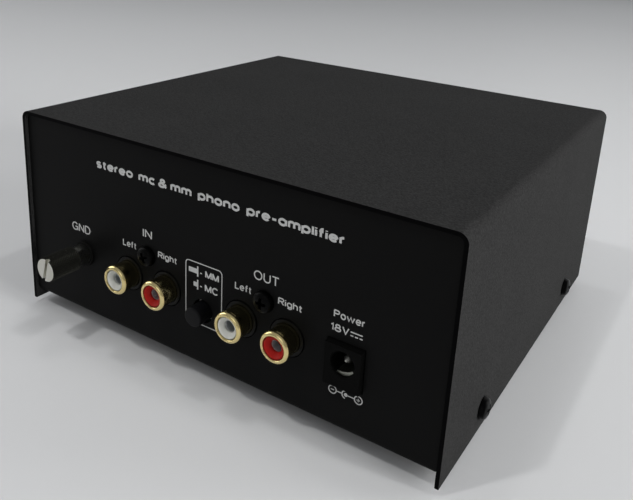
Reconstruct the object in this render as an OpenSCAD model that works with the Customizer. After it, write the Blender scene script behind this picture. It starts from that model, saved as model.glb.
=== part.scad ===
// Phono preamplifier: a folded steel chassis and cover round a circuit board.
// X runs along the socket panel, Y from the sockets to the far side, and Z up.
// The origin lies on the surface it stands on, under the middle of its outline.
// Sizes are in millimetres.

/* [Case] */
// Width over the cover
case_w = 137; // [130:1:170]
// Depth of the cover, from the socket side to the far side
case_d = 127; // [116:1:170]
// Height of the cover, from its lower edges to its top
case_h = 61; // [50:1:80]
// Sheet thickness of the cover
cover_t = 1; // [0.8:0.1:1.5]
// Outer radius of the cover's two bends
cover_r = 2.5; // [2:0.5:5]
// Sheet thickness of the chassis
chassis_t = 1; // [0.8:0.1:1.5]
// Inner radius of the chassis's bends
bend_r = 0.8; // [0.5:0.1:1.2]
// How far both end panels sit inside the cover's edges
panel_inset = 1; // [0.6:0.1:2]
// How far the cover's lower edges hang below the chassis
skirt = 2.4; // [1:0.1:2.8]

/* [Feet and case screws] */
// Height of the rubber feet
foot_h = 4.4; // [3.6:0.1:8]
// Diameter of a foot against the chassis
foot_d = 12; // [10:0.5:14]
// Distance of the feet's middles from the cover's sides
foot_from_side = 18.5; // [14:0.5:26]
// Distance of the feet's middles from the cover's ends
foot_from_end = 20; // [18:0.5:30]
// Thread diameter of the screws in the case, the feet and the board
screw_d = 3; // [2.5:0.5:3]
// Head diameter of the screws
head_d = 5.8; // [5.4:0.1:6.2]
// Head height of the screws
head_h = 2; // [1.6:0.1:2.2]
// Distance of the cover screws from the cover's ends
cover_screw_y = 25; // [16:1:32]
// Height of the cover screws over the cover's lower edges
cover_screw_z = 6.2; // [5.8:0.1:9]

/* [Circuit board] */
// Height of the board's standoffs
standoff_h = 10; // [8:0.5:14]
// Thickness of the board
board_t = 1.6; // [1.2:0.1:2]
// Gap between the board's long edges and the chassis's flanges
board_side_gap = 7; // [5:0.5:9]
// Distance of the board's screws from its edges
board_screw_in = 5; // [4.5:0.5:6]
// Diameter of the holes that take the solder pins
pin_bore = 1; // [0.9:0.1:1.2]

/* [Phono sockets] */
// Distance between the two sockets of a pair
socket_pitch = 14; // [13:0.5:15]
// Distance of each pair's middle from the panel's middle
pair_x = 19.6; // [19.2:0.1:21]
// Height of the sockets' axes over the board
socket_rise = 6.4; // [6.2:0.1:8]
// Outer diameter of a socket's rim
rim_d = 8.35; // [8.2:0.05:8.5]
// Outer diameter of a socket's barrel behind the rim
barrel_d = 7.8; // [7.4:0.1:8]
// How far the rims stand out of the panel
rim_out = 6; // [5:0.5:9]
// Diameter of the insulators
insulator_d = 6; // [5.6:0.1:6.2]
// Bore of the insulators, which takes a plug's pin
plug_bore = 3.3; // [3.25:0.05:3.4]
// Height of the pairs' fixing screws over the sockets' axes
socket_screw_rise = 7.5; // [7:0.1:9]
// Depth of the pairs' housings behind the panel
housing_l = 11; // [10:0.5:14]

/* [Mode switch] */
// Height of the button's axis over the board
button_rise = 4; // [3.8:0.1:5]
// Diameter of the button
button_d = 5.4; // [5:0.1:6]
// How far the button stands out of the panel
button_out = 4.1; // [3.5:0.1:6]
// Travel of the button
button_travel = 2.5; // [1.5:0.1:3]
// Length of the switch's housing
switch_l = 12; // [11:0.5:16]
// Width of the switch's housing
switch_w = 8.4; // [7.6:0.1:8.8]

/* [Power inlet] */
// Distance of the inlet from the panel's middle
inlet_x = 42.8; // [42:0.1:46]
// Width of the inlet's face
inlet_w = 9.6; // [9:0.1:10]
// Height of the inlet's face
inlet_h = 11; // [10.6:0.1:12]
// How far the inlet's face stands out of the panel
inlet_out = 1.7; // [0.5:0.1:2.5]
// Bore of the inlet
inlet_bore = 6.4; // [6:0.1:6.6]
// Diameter of the inlet's centre pin
inlet_pin_d = 2; // [1.9:0.1:2.5]
// Depth of the inlet's bore
inlet_depth = 9.5; // [9:0.5:11]

/* [Ground terminal] */
// Distance of the terminal from the panel's middle
ground_x = 44.8; // [44:0.1:48]
// Height of the terminal's axis over the board
ground_rise = 7; // [6.5:0.1:9]
// Diameter of the thumbscrew's head
thumb_d = 7.2; // [6.4:0.1:9]
// Length of the thumbscrew's head
thumb_l = 10; // [7:0.5:12]
// Diameter of the thumbscrew's neck
neck_d = 5; // [4.8:0.1:6]
// Length of the thumbscrew's neck
neck_l = 3.2; // [2:0.1:5]
// Thread diameter of the thumbscrew
thumb_thread_d = 4; // [3.5:0.5:4]
// How far the thumbscrew opens
thumb_travel = 3.5; // [2:0.1:4]
// Thickness of the clamp washer
washer_t = 0.8; // [0.5:0.1:1.2]

/* [Clearances] */
// Gap between the cover and the chassis
slip = 0.25; // [0.15:0.05:0.35]
// Radial play of a screw in a clear hole
screw_play = 0.2; // [0.15:0.05:0.3]
// Radial play of parts that are pressed or screwed together
seat_play = 0.05; // [0.03:0.01:0.08]
// Gap round what passes through a panel's opening
panel_play = 0.3; // [0.2:0.05:0.4]

/* [Hidden] */

$fn = 48;

// Colours
paint = [0.16, 0.155, 0.15];
satin = [0.08, 0.08, 0.085];
black = [0.05, 0.05, 0.05];
gold = [0.85, 0.65, 0.25];
nickel = [0.75, 0.73, 0.68];
tin = [0.72, 0.72, 0.72];
white = [0.9, 0.9, 0.88];
red = [0.75, 0.1, 0.08];

// Overshoot of a cut past the face that it opens, and the radius of a corner left square
cut = 1;
square_r = 0.01;

// Heights of the levels
z_edge = foot_h - skirt;
z_top = z_edge + case_h;
z_floor = foot_h + chassis_t;
z_board = z_floor + standoff_h;
z_parts = z_board + board_t;
z_socket = z_parts + socket_rise;
z_socket_screw = z_socket + socket_screw_rise;
z_button = z_parts + button_rise;
z_inlet = z_socket;
z_ground = z_parts + ground_rise;
z_cover_screw = z_edge + cover_screw_z;

// Depths: the thumbscrew's face and the cover's far edge are as far from the origin
thumb_out = thumb_l + neck_l + washer_t;
y_edge = -(case_d - (thumb_out - panel_inset)) / 2;
y_far = y_edge + case_d;
y_panel = y_edge + panel_inset;
y_in = y_panel + chassis_t;
y_front = y_far - panel_inset;
y_front_in = y_front - chassis_t;

// Chassis
chassis_w = case_w - 2 * (cover_t + slip);
chassis_l = y_front - y_panel;
chassis_h = z_top - cover_t - slip - foot_h;
collar_r = screw_d / 2 + 0.7;
collar_l = 1.4;
flange_h = z_cover_screw + collar_r + 2 - foot_h;
relief = 2;

// Fasteners
clear_r = screw_d / 2 + screw_play;
thread_r = screw_d / 2 + seat_play;
nut_af = 5.5;
nut_h = 2.4;
cross_w = 0.8;
cross_l = 3.2;
cross_deep = 1.2;
cover_shank = 6;

// Feet
foot_x = case_w / 2 - foot_from_side;
foot_ys = [y_edge + foot_from_end, y_far - foot_from_end];
foot_taper = 0.75;
foot_pocket = head_h + 0.6;

// Board
board_w = chassis_w - 2 * (chassis_t + board_side_gap);
board_front_gap = 0.8;
board_back_gap = 4;
board_front = y_in + board_front_gap;
board_back = y_front_in - board_back_gap;
board_l = board_back - board_front;
stud_x = board_w / 2 - board_screw_in;
stud_ys = [board_front + board_screw_in, board_back - board_screw_in];
standoff_af = 5;
stub_d = 4;
board_screw_shank = board_t + 4;

// Pins and leads that are soldered into the board, and the gap under what stands on it
pin_r = pin_bore / 2 - 0.1;
pin_below = 1.2;
lead_r = 0.3;
fine_lead_r = 0.25;
lift = 0.3;

// Sockets, measured from the rim's front face
socket_xs = [for (side = [-1, 1], k = [-1, 1]) side * pair_x + k * socket_pitch / 2];
socket_y = y_panel - rim_out;
rim_l = 1.4;
rim_round = 0.35;
boss_d = barrel_d + 1.8;
boss_proud = 0.3;
bay_wall = 1.2;
bay_w = boss_d + 2.8;
z_bay = z_socket + bay_w / 2 - 0.6;
plate_l = 2.4;
sleeve_l = 5;
shell_tail_l = 1;
shell_l = rim_out + chassis_t + plate_l + sleeve_l + 0.2 + shell_tail_l;
insulator_back = shell_l - 0.6;
insulator_set = 0.45;
plug_bore_l = 4;
contact_wall = 0.35;
contact_play = 0.2;
contact_r = plug_bore / 2 + contact_play + contact_wall;
contact_y = insulator_set + plug_bore_l;
contact_over = 1.8;
contact_l = shell_l + contact_over - contact_y;
contact_slot = 0.5;
contact_end = 0.5;
shell_tail_w = 2;
shell_tail_t = 0.6;
shell_tail_y = socket_y + shell_l;
contact_tail_w = 1.6;
contact_tail_t = 0.5;
contact_tail_y = socket_y + contact_y + contact_l;
socket_pin_ys = [shell_tail_y - 0.7, contact_tail_y - 0.05];
pillar_d = screw_d + 4;
pillar_l = 8;
socket_shank = 7;

// Mode switch
switch_gap = 4;
flange_t = 0.6;
button_l = button_out + chassis_t + 0.6;
flange_y = y_panel - button_out + button_l;
spring_y = flange_y + flange_t;
switch_y = spring_y + switch_gap;
plunger_w = 2.6;
plunger_l = switch_l - button_travel - 0.8;
spring_r = 2.5;
spring_wire = 0.4;
spring_turns = 3.5;

// Power inlet
inlet_y = y_panel - inlet_out;
inlet_face_l = inlet_out + chassis_t + 2;
inlet_body_w = inlet_w - 0.8;
inlet_l = inlet_depth + 3;
inlet_below = z_inlet - z_parts;
inlet_tip = 2;
inlet_stem_d = inlet_pin_d - 0.5;
inlet_tail_y = inlet_y + inlet_l + 0.05;
leaf_w = 3;
leaf_t = 0.4;
leaf_tail_y = inlet_y + inlet_depth - 1.2;
inlet_pins = [[inlet_x, inlet_tail_y + pin_r], [inlet_x, leaf_tail_y + leaf_t / 2]];

// Ground terminal
ground_nut_af = 7;
ground_nut_h = 3.2;
thumb_y = y_panel - thumb_out;
thumb_shank = washer_t + chassis_t + ground_nut_h + thumb_travel + 0.5;
washer_d = thumb_d + 0.4;
slot_w = 1;
slot_deep = 1.6;
slot_turn = 16;

// Lamp on the far side
led_d = 3;
led_out = panel_inset * 0.7;
led_l = 5.2;
led_rise = 6;
led_lead_l = 2;
led_pins = [for (k = [-1.27, 1.27]) [k, y_front + led_out - led_l - led_lead_l]];

// Things in line with Y, standing at a point of the case
module along_y(x, y, z) {
    translate([x, y, z]) rotate([-90, 0, 0]) children();
}

// A plate outline centred on X that stands on it, with two lower and two upper radii
module plate_2d(w, h, r_low, r_top) {
    translate([-w / 2, r_low]) square([w, h - r_low - r_top]);
    translate([-w / 2 + r_low, 0]) square([w - 2 * r_low, h / 2]);
    translate([-w / 2 + r_top, h / 2]) square([w - 2 * r_top, h / 2]);
    for (side = [-1, 1]) {
        translate([side * (w / 2 - r_low), r_low]) circle(r_low);
        translate([side * (w / 2 - r_top), h - r_top]) circle(r_top);
    }
}

// A bar outline with rounded corners, from one corner to the other
module round_bar_2d(from, to, r) {
    translate([from.x, from.y + r]) square([to.x - from.x, to.y - from.y - 2 * r]);
    translate([from.x + r, from.y]) square([to.x - from.x - 2 * r, to.y - from.y]);
    for (x = [from.x + r, to.x - r], y = [from.y + r, to.y - r])
        translate([x, y]) circle(r);
}

// A pan-head screw: its head stands on the XY plane and its shank goes down
module pan_screw(shank, d = screw_d) {
    difference() {
        rotate_extrude() {
            square([head_d / 2 - head_h * 0.6, head_h]);
            square([head_d / 2, head_h * 0.4]);
            intersection() {
                translate([head_d / 2 - head_h * 0.6, head_h * 0.4]) circle(head_h * 0.6);
                square([head_d, head_h]);
            }
        }
        for (turn = [0, 90])
            rotate(turn)
                translate([-cross_l / 2, -cross_w / 2, head_h - cross_deep])
                    cube([cross_l, cross_w, cross_deep + cut]);
    }
    translate([0, 0, -shank]) cylinder(d = d, h = shank);
}

module hex_nut(af, h, hole_r) {
    difference() {
        cylinder(d = af / cos(30), h = h, $fn = 6);
        translate([0, 0, -cut]) cylinder(r = hole_r, h = h + 2 * cut);
    }
}

// Places of the repeated fasteners
module at_feet() {
    for (side = [-1, 1], y = foot_ys) translate([side * foot_x, y, 0]) children();
}

module at_studs() {
    for (side = [-1, 1], y = stud_ys) translate([side * stud_x, y, 0]) children();
}

// The four cover screws: a screw's head stands on the cover, its shank points inwards
module at_cover_screws() {
    for (side = [-1, 1], y = [y_edge + cover_screw_y, y_far - cover_screw_y])
        translate([side * case_w / 2, y, z_cover_screw]) rotate([0, side * 90, 0]) children();
}

// Case

module cover() color(paint) difference() {
    translate([0, y_far, z_edge]) rotate([90, 0, 0]) linear_extrude(case_d)
        translate([0, case_h]) mirror([0, 1]) difference() {
            plate_2d(case_w, case_h, cover_r, square_r);
            translate([0, cover_t])
                plate_2d(case_w - 2 * cover_t, case_h, cover_r - cover_t, square_r);
        }
    at_cover_screws()
        translate([0, 0, -cover_t - cut]) cylinder(r = clear_r, h = cover_t + 2 * cut);
}

// The block inside a pan's outer skin, or inside its inner skin where inset is its sheet
module chassis_block(h, inset = 0) {
    fold = bend_r + chassis_t - inset;
    intersection() {
        translate([-chassis_w / 2, (y_panel + y_front) / 2, foot_h + inset])
            rotate([90, 0, 90]) linear_extrude(chassis_w)
                plate_2d(chassis_l - 2 * inset, h + cut, fold, square_r);
        translate([0, y_front + cut, foot_h + inset])
            rotate([90, 0, 0]) linear_extrude(chassis_l + 2 * cut)
                plate_2d(chassis_w - 2 * inset, h, fold, cover_r - cover_t);
    }
}

module chassis() color(satin) difference() {
    union() {
        difference() {
            chassis_block(chassis_h);
            chassis_block(chassis_h + 2 * cover_r, chassis_t);
        }
        // drawn collars that the cover screws are tapped into
        at_cover_screws()
            translate([0, 0, -cover_t - slip - chassis_t - collar_l])
                cylinder(r = collar_r, h = collar_l + chassis_t / 2);
    }
    // the sides end as low flanges, with a relief at each corner
    for (side = [-1, 1]) {
        translate([side * chassis_w / 2 - bend_r - chassis_t, y_in, foot_h + flange_h])
            cube([2 * (bend_r + chassis_t), y_front_in - y_in, case_h]);
        for (y = [y_in, y_front_in - relief])
            translate([side * chassis_w / 2 - bend_r - chassis_t, y, foot_h - cut])
                cube([2 * (bend_r + chassis_t), relief, flange_h + 2 * cut]);
    }
    at_cover_screws()
        translate([0, 0, -cover_shank - cut]) cylinder(r = thread_r, h = cover_shank + cut);
    at_feet()
        translate([0, 0, foot_h - cut]) cylinder(r = clear_r, h = chassis_t + 2 * cut);
    at_studs()
        translate([0, 0, foot_h - cut])
            cylinder(d = stub_d + 2 * seat_play, h = chassis_t + 2 * cut);
    socket_panel_cuts();
    along_y(0, y_front_in - cut, z_parts + led_rise)
        cylinder(d = led_d + 2 * panel_play, h = chassis_t + 2 * cut);
}

module socket_panel_cuts() {
    panel_cut_l = chassis_t + 2 * cut;
    for (x = socket_xs)
        along_y(x, y_panel - cut, z_socket)
            cylinder(d = boss_d + 2 * panel_play, h = panel_cut_l);
    for (side = [-1, 1])
        along_y(side * pair_x, y_panel - cut, z_socket_screw)
            cylinder(r = clear_r, h = panel_cut_l);
    along_y(0, y_panel - cut, z_button)
        cylinder(d = button_d + 4 * panel_play, h = panel_cut_l);
    along_y(-ground_x, y_panel - cut, z_ground)
        cylinder(d = thumb_thread_d + 2 * screw_play, h = panel_cut_l);
    translate([inlet_x - inlet_w / 2 - panel_play, y_panel - cut, z_parts - panel_play])
        cube([inlet_w + 2 * panel_play, panel_cut_l, inlet_h + 2 * panel_play]);
}

module cover_screws() color(black) at_cover_screws() pan_screw(cover_shank);

module rubber_feet() color(black) at_feet() difference() {
    rotate_extrude() polygon([[0, 0], [foot_d / 2 - foot_taper, 0],
        [foot_d / 2, foot_h], [0, foot_h]]);
    translate([0, 0, -cut]) cylinder(r = clear_r, h = foot_h + 2 * cut);
    translate([0, 0, -cut]) cylinder(d = head_d + 0.8, h = foot_pocket + cut);
}

module foot_screws() color(nickel) at_feet()
    translate([0, 0, foot_pocket]) mirror([0, 0, 1])
        pan_screw(foot_h - foot_pocket + chassis_t + nut_h + 0.6);

module foot_nuts() color(nickel) at_feet()
    translate([0, 0, z_floor]) hex_nut(nut_af, nut_h, thread_r);

// Circuit board

// Points where a solder pin passes the board, for each kind of part that has them
function grid(xs, ys) = [for (x = xs, y = ys) [x, y]];

module circuit_board() color([0.05, 0.25, 0.12]) difference() {
    translate([-board_w / 2, board_front, z_board]) cube([board_w, board_l, board_t]);
    at_studs() translate([0, 0, z_board - cut]) cylinder(r = clear_r, h = board_t + 2 * cut);
    for (p = board_pins)
        translate([p.x, p.y, z_board - cut]) cylinder(d = pin_bore, h = board_t + 2 * cut);
}

module board_standoffs() color(nickel) at_studs() difference() {
    union() {
        translate([0, 0, z_floor]) cylinder(d = standoff_af / cos(30), h = standoff_h, $fn = 6);
        translate([0, 0, foot_h]) cylinder(d = stub_d, h = chassis_t + standoff_h / 2);
    }
    translate([0, 0, foot_h - cut])
        cylinder(r = thread_r, h = chassis_t + standoff_h + 2 * cut);
}

module board_screws() color(nickel) at_studs()
    translate([0, 0, z_parts]) pan_screw(board_screw_shank);

// A solder pin of the board, from a height over it down through its hole
module solder_pin(p, top = lift) {
    translate([p.x, p.y, z_board - pin_below])
        cylinder(r = pin_r, h = board_t + pin_below + top, $fn = 24);
}

// Phono sockets

// A pair's moulded block: a front plate with two bosses, a bay round each socket, open
// behind and below, a sleeve that holds each shell, and a pillar for the fixing screw
module pair_housing(middle) color(black) difference() {
    union() {
        translate([middle, y_in, z_parts]) {
            translate([-(socket_pitch + bay_w) / 2, 0, 0])
                cube([socket_pitch + bay_w, plate_l, z_bay - z_parts]);
            for (k = [-1, 1])
                translate([k * socket_pitch / 2 - bay_w / 2, 0, 0])
                    cube([bay_w, housing_l, z_bay - z_parts]);
        }
        for (k = [-1, 1])
            along_y(middle + k * socket_pitch / 2, y_panel - boss_proud, z_socket)
                cylinder(d = boss_d, h = boss_proud + chassis_t + plate_l);
        along_y(middle, y_in, z_socket_screw) cylinder(d = pillar_d, h = pillar_l);
        translate([middle - pillar_d / 2, y_in, z_bay - bay_wall])
            cube([pillar_d, pillar_l, z_socket_screw - z_bay + bay_wall]);
    }
    for (k = [-1, 1]) {
        difference() {
            translate([middle + k * socket_pitch / 2 - bay_w / 2 + bay_wall,
                    y_in + plate_l, z_parts - cut])
                cube([bay_w - 2 * bay_wall, housing_l, z_bay - bay_wall - z_parts + cut]);
            along_y(middle + k * socket_pitch / 2, y_in, z_socket)
                cylinder(d = boss_d, h = plate_l + sleeve_l);
        }
        along_y(middle + k * socket_pitch / 2, y_panel - boss_proud - cut, z_socket)
            cylinder(d = barrel_d + 2 * seat_play, h = housing_l + 2 * cut);
    }
    along_y(middle, y_in - cut, z_socket_screw) cylinder(r = thread_r, h = pillar_l + 2 * cut);
}

module input_housing() pair_housing(-pair_x);
module output_housing() pair_housing(pair_x);

module socket_screws() color(black) for (side = [-1, 1])
    translate([side * pair_x, y_panel, z_socket_screw]) rotate([90, 0, 0])
        pan_screw(socket_shank);

// A turned shell with a rolled rim, and the earth tail behind it
module socket_shell(x) color(gold) {
    bore_r = insulator_d / 2 + seat_play;
    along_y(x, socket_y, z_socket) rotate_extrude() {
        round_bar_2d([bore_r, 0], [rim_d / 2, rim_l], rim_round);
        translate([bore_r, rim_round]) square([barrel_d / 2 - bore_r, shell_l - rim_round]);
    }
    // the tail drops from the shell's lower edge into the board
    tail_h = z_socket - bore_r - 0.3 - z_parts - lift;
    translate([x - shell_tail_w / 2, shell_tail_y - 1, z_parts + lift])
        cube([shell_tail_w, shell_tail_t, tail_h]);
    solder_pin([x, socket_pin_ys[0]]);
}

// A moulded plug: countersunk at the front, stepped for its contact behind
module socket_insulator(x, paint_colour) color(paint_colour)
    along_y(x, socket_y, z_socket) rotate_extrude() difference() {
        translate([0, insulator_set]) square([insulator_d / 2, insulator_back - insulator_set]);
        translate([0, -cut]) square([plug_bore / 2, insulator_back + 2 * cut]);
        translate([0, contact_y])
            square([contact_r + seat_play, insulator_back]);
        polygon([[0, insulator_set - 0.01], [plug_bore / 2 + 0.6, insulator_set - 0.01],
            [plug_bore / 2, insulator_set + 0.6], [0, insulator_set + 0.6]]);
    }

// A split tube that grips a plug's pin, closed behind, with the tail that goes to the board
module socket_contact(x) color(tin) {
    along_y(x, socket_y + contact_y, z_socket) difference() {
        cylinder(r = contact_r, h = contact_l);
        translate([0, 0, -cut])
            cylinder(r = contact_r - contact_wall, h = contact_l - contact_end + cut);
        translate([-contact_r - cut, -contact_slot / 2, -cut])
            cube([2 * (contact_r + cut), contact_slot, contact_l * 0.75 + cut]);
    }
    translate([x - contact_tail_w / 2, contact_tail_y - 0.3, z_parts + lift])
        cube([contact_tail_w, contact_tail_t, z_socket - z_parts]);
    solder_pin([x, socket_pin_ys[1]]);
}

module input_left_shell() socket_shell(socket_xs[0]);
module input_right_shell() socket_shell(socket_xs[1]);
module output_left_shell() socket_shell(socket_xs[2]);
module output_right_shell() socket_shell(socket_xs[3]);
module input_left_insulator() socket_insulator(socket_xs[0], white);
module input_right_insulator() socket_insulator(socket_xs[1], red);
module output_left_insulator() socket_insulator(socket_xs[2], white);
module output_right_insulator() socket_insulator(socket_xs[3], red);
module input_left_contact() socket_contact(socket_xs[0]);
module input_right_contact() socket_contact(socket_xs[1]);
module output_left_contact() socket_contact(socket_xs[2]);
module output_right_contact() socket_contact(socket_xs[3]);

// Mode switch

// The cap: a domed turned front, and a square socket behind for the plunger
module mode_button() color(satin) along_y(0, y_panel - button_out, z_button) difference() {
    rotate_extrude() {
        square([button_d / 2 - 0.5, button_l]);
        translate([0, 0.5]) square([button_d / 2, button_l - 0.5]);
        translate([button_d / 2 - 0.5, 0.5]) circle(0.5);
    }
    // half of the button's length is the plunger's socket
    translate([0, 0, button_l])
        cube([plunger_w + 2 * seat_play, plunger_w + 2 * seat_play, button_l], center = true);
}

// A square stem with the collar that the spring pushes on
module mode_plunger() color(white) along_y(0, flange_y, z_button) {
    stem_front = button_l / 2 - 0.2;
    stem_l = stem_front + flange_t + switch_gap + plunger_l;
    translate([-plunger_w / 2, -plunger_w / 2, -stem_front])
        cube([plunger_w, plunger_w, stem_l]);
    cylinder(r = spring_r + spring_wire, h = flange_t);
}

// The points of a wire's ring at one turn of a helix
function coil_ring(turn, rise, r, wire, sides) =
    [for (s = [0:sides - 1])
        let (a = 360 * s / sides, out = r + wire / 2 * cos(a), up = wire / 2 * sin(a))
        [out * cos(360 * turn), out * sin(360 * turn), rise + up]];

module mode_spring() color(tin) along_y(0, spring_y, z_button) {
    sides = 8;
    steps = 20;
    rings = ceil(spring_turns * steps);
    lift = switch_gap - spring_wire - 0.04;
    points = [for (i = [0:rings])
        each coil_ring(spring_turns * i / rings, spring_wire / 2 + 0.02 + lift * i / rings,
            spring_r, spring_wire, sides)];
    skin = [for (i = [0:rings - 1], s = [0:sides - 1])
        let (n = (s + 1) % sides, a = i * sides, b = a + sides)
        each [[a + s, b + s, b + n], [a + s, b + n, a + n]]];
    front = [for (s = [0:sides - 1]) s];
    back = [for (s = [sides - 1:-1:0]) rings * sides + s];
    polyhedron(points, concat(skin, [front, back]), convexity = 10);
}

module mode_switch_housing() color(black) difference() {
    translate([-switch_w / 2, switch_y, z_parts]) cube([switch_w, switch_l, 2 * button_rise]);
    hole = plunger_w + 2 * screw_play;
    translate([-hole / 2, switch_y - cut, z_button - hole / 2])
        cube([hole, plunger_l + button_travel + 0.4 + cut, hole]);
    // chamfered upper edges
    for (side = [-1, 1])
        translate([side * switch_w / 2, switch_y - cut, z_parts + 2 * button_rise])
            rotate([0, 45, 0]) translate([-0.5, 0, -0.5]) cube([1, switch_l + 2 * cut, 1]);
}

switch_pins = grid([-2.2, 2.2], [for (k = [-1:1]) switch_y + switch_l / 2 + 2.5 * k]);
module mode_switch_pins() color(tin) for (p = switch_pins) solder_pin(p, 0);

// Power inlet

// A square face block, and a round-topped body behind it with a slot for the leaf
module inlet_housing() color(black) difference() {
    union() {
        translate([inlet_x - inlet_w / 2, inlet_y, z_parts])
            cube([inlet_w, inlet_face_l, inlet_h]);
        along_y(inlet_x, inlet_y, z_inlet)
            cylinder(d = inlet_body_w, h = inlet_l);
        translate([inlet_x - inlet_body_w / 2, inlet_y, z_parts])
            cube([inlet_body_w, inlet_l, inlet_below]);
    }
    along_y(inlet_x, inlet_y - cut, z_inlet) cylinder(d = inlet_bore, h = inlet_depth + cut);
    // countersunk mouth
    along_y(inlet_x, inlet_y - 0.01, z_inlet)
        cylinder(d1 = inlet_bore + 0.6, d2 = inlet_bore, h = 0.3);
    along_y(inlet_x, inlet_y, z_inlet)
        cylinder(d = inlet_stem_d + 2 * seat_play, h = inlet_l + cut);
    // window under the bore for the leaf, open below
    translate([inlet_x - leaf_w / 2 - 0.3, inlet_y + 1, z_parts - cut])
        cube([leaf_w + 0.6, inlet_depth - 1, inlet_below - inlet_bore / 2 + cut + 0.6]);
}

// The centre pin, its rounded tip inside the mouth, and its tail behind the body
module inlet_pin() color(tin) {
    round_r = inlet_pin_d / 4;
    along_y(inlet_x, inlet_y + inlet_tip, z_inlet) rotate_extrude() {
        translate([0, round_r]) square([inlet_pin_d / 2, inlet_depth - inlet_tip - round_r]);
        square([inlet_pin_d / 2 - round_r, inlet_depth - inlet_tip]);
        translate([inlet_pin_d / 2 - round_r, round_r]) circle(round_r);
        square([inlet_stem_d / 2, inlet_l - inlet_tip + 0.5]);
    }
    translate([inlet_x - 1.25, inlet_tail_y, z_parts + lift])
        cube([2.5, 0.5, inlet_below + inlet_pin_d / 2]);
    solder_pin(inlet_pins[0]);
}

// A bent leaf that presses on a plug's sleeve from below
module inlet_spring() color(tin) {
    leaf_z = z_inlet - inlet_bore / 2 + 0.1;
    translate([inlet_x - leaf_w / 2, inlet_y + 1.4, leaf_z])
        cube([leaf_w, inlet_depth - 2.2, leaf_t]);
    translate([inlet_x - leaf_w / 2, leaf_tail_y, z_parts + lift])
        cube([leaf_w, leaf_t, leaf_z - z_parts]);
    solder_pin(inlet_pins[1]);
}
// Ground terminal

// A turned thumbscrew: slotted face, bevelled head, neck, and threaded shank
module ground_thumbscrew() color(nickel) along_y(-ground_x, thumb_y, z_ground) difference() {
    rotate_extrude() {
        polygon([[0, 0], [thumb_d / 2 - 0.4, 0], [thumb_d / 2, 0.4],
            [thumb_d / 2, thumb_l - 0.4], [thumb_d / 2 - 0.4, thumb_l], [0, thumb_l]]);
        square([neck_d / 2, thumb_l + neck_l]);
        square([thumb_thread_d / 2, thumb_l + neck_l + thumb_shank]);
    }
    rotate(slot_turn) translate([-slot_w / 2, -thumb_d, -cut])
        cube([slot_w, 2 * thumb_d, slot_deep + cut]);
}

module ground_washer() color(black) along_y(-ground_x, y_panel - washer_t, z_ground)
    difference() {
        cylinder(d = washer_d, h = washer_t);
        translate([0, 0, -cut])
            cylinder(r = thumb_thread_d / 2 + screw_play, h = washer_t + 2 * cut);
    }

module ground_nut() color(nickel) along_y(-ground_x, y_in, z_ground)
    hex_nut(ground_nut_af, ground_nut_h, thumb_thread_d / 2 + seat_play);

// Lamp

module power_led() color([0.3, 0.45, 0.9, 0.8]) {
    along_y(0, y_front + led_out - led_l, z_parts + led_rise) {
        cylinder(d = led_d, h = led_l - led_d / 2);
        translate([0, 0, led_l - led_d / 2]) intersection() {
            sphere(d = led_d);
            cylinder(d = led_d + cut, h = led_d);
        }
        cylinder(d = led_d + 0.8, h = 1);
        for (p = led_pins)
            translate([p.x, 0, -led_lead_l])
                cylinder(r = fine_lead_r, h = led_lead_l + 0.2, $fn = 24);
    }
    for (p = led_pins) {
        translate([p.x, p.y, z_board - pin_below])
            cylinder(r = fine_lead_r, h = board_t + pin_below + led_rise, $fn = 24);
        translate([p.x, p.y, z_parts + led_rise]) sphere(r = fine_lead_r, $fn = 24);
    }
}

// Parts on the board

// Rows of parts run away from the sockets, one pattern for each channel
channels = [-1, 1];
row_gap = 6;
row_y = y_in + housing_l + row_gap;
stage_pitch = 26;
pin_pitch = 2.54;

// Dual amplifier chips: body, and two rows of four legs
chip_l = 9.6;
chip_w = 6.4;
chip_h = 3.4;
chip_lift = 0.5;
chip_row = 3.81;
chip_x = 24;
chip_first = 8;
leg_t = 0.25;
leg_z = 1.9;
chip_spots = [for (c = channels, k = [0, 1])
    [c * chip_x, row_y + chip_first + stage_pitch * k]];
function chip_pins(at) =
    [for (k = [-1.5:1.5], side = [-1, 1]) [at.x + side * chip_row, at.y + k * pin_pitch]];
module amplifier_chips() for (at = chip_spots) {
    color(black) difference() {
        translate([at.x - chip_w / 2, at.y - chip_l / 2, z_parts + chip_lift])
            cube([chip_w, chip_l, chip_h]);
        translate([at.x, at.y - chip_l / 2, z_parts + chip_lift + chip_h - 0.4])
            cylinder(r = 0.9, h = cut);
    }
    // a leg's shoulder reaches a little into the body, and its narrow end into the board
    color(tin) for (p = chip_pins(at)) {
        reach = chip_row - chip_w / 2 + 0.3;
        side = sign(p.x - at.x);
        translate([p.x - side * reach / 2, p.y, z_parts + leg_z + leg_t / 2])
            cube([reach + leg_t, 1.2, leg_t], center = true);
        translate([p.x - leg_t / 2, p.y - 0.25, z_board - pin_below])
            cube([leg_t, 0.5, z_parts + leg_z + leg_t - z_board + pin_below]);
    }
}

// Film capacitors of the equalisation network: boxes on their pins
film_l = 7.2;
film_w = 3.5;
film_h = 7.5;
film_pitch = 5;
film_x = 36;
film_stagger = 5;
film_first = 4;
film_step = 11;
film_spots = [for (c = channels, k = [0:3])
    [c * (film_x + film_stagger * (k % 2)), row_y + film_first + film_step * k]];
function film_pins(at) = [for (k = [-1, 1]) [at.x, at.y + k * film_pitch / 2]];
module film_capacitors() color([0.75, 0.1, 0.1]) for (at = film_spots) {
    translate([at.x - film_w / 2, at.y - film_l / 2, z_parts + lift])
        cube([film_w, film_l, film_h]);
    for (side = [-1, 1])
        translate([at.x - film_w / 2, at.y + side * (film_l / 2 - 0.4) - 0.4, z_parts])
            cube([film_w, 0.8, 0.5]);
    for (p = film_pins(at)) solder_pin(p, 0.5);
}

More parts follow.
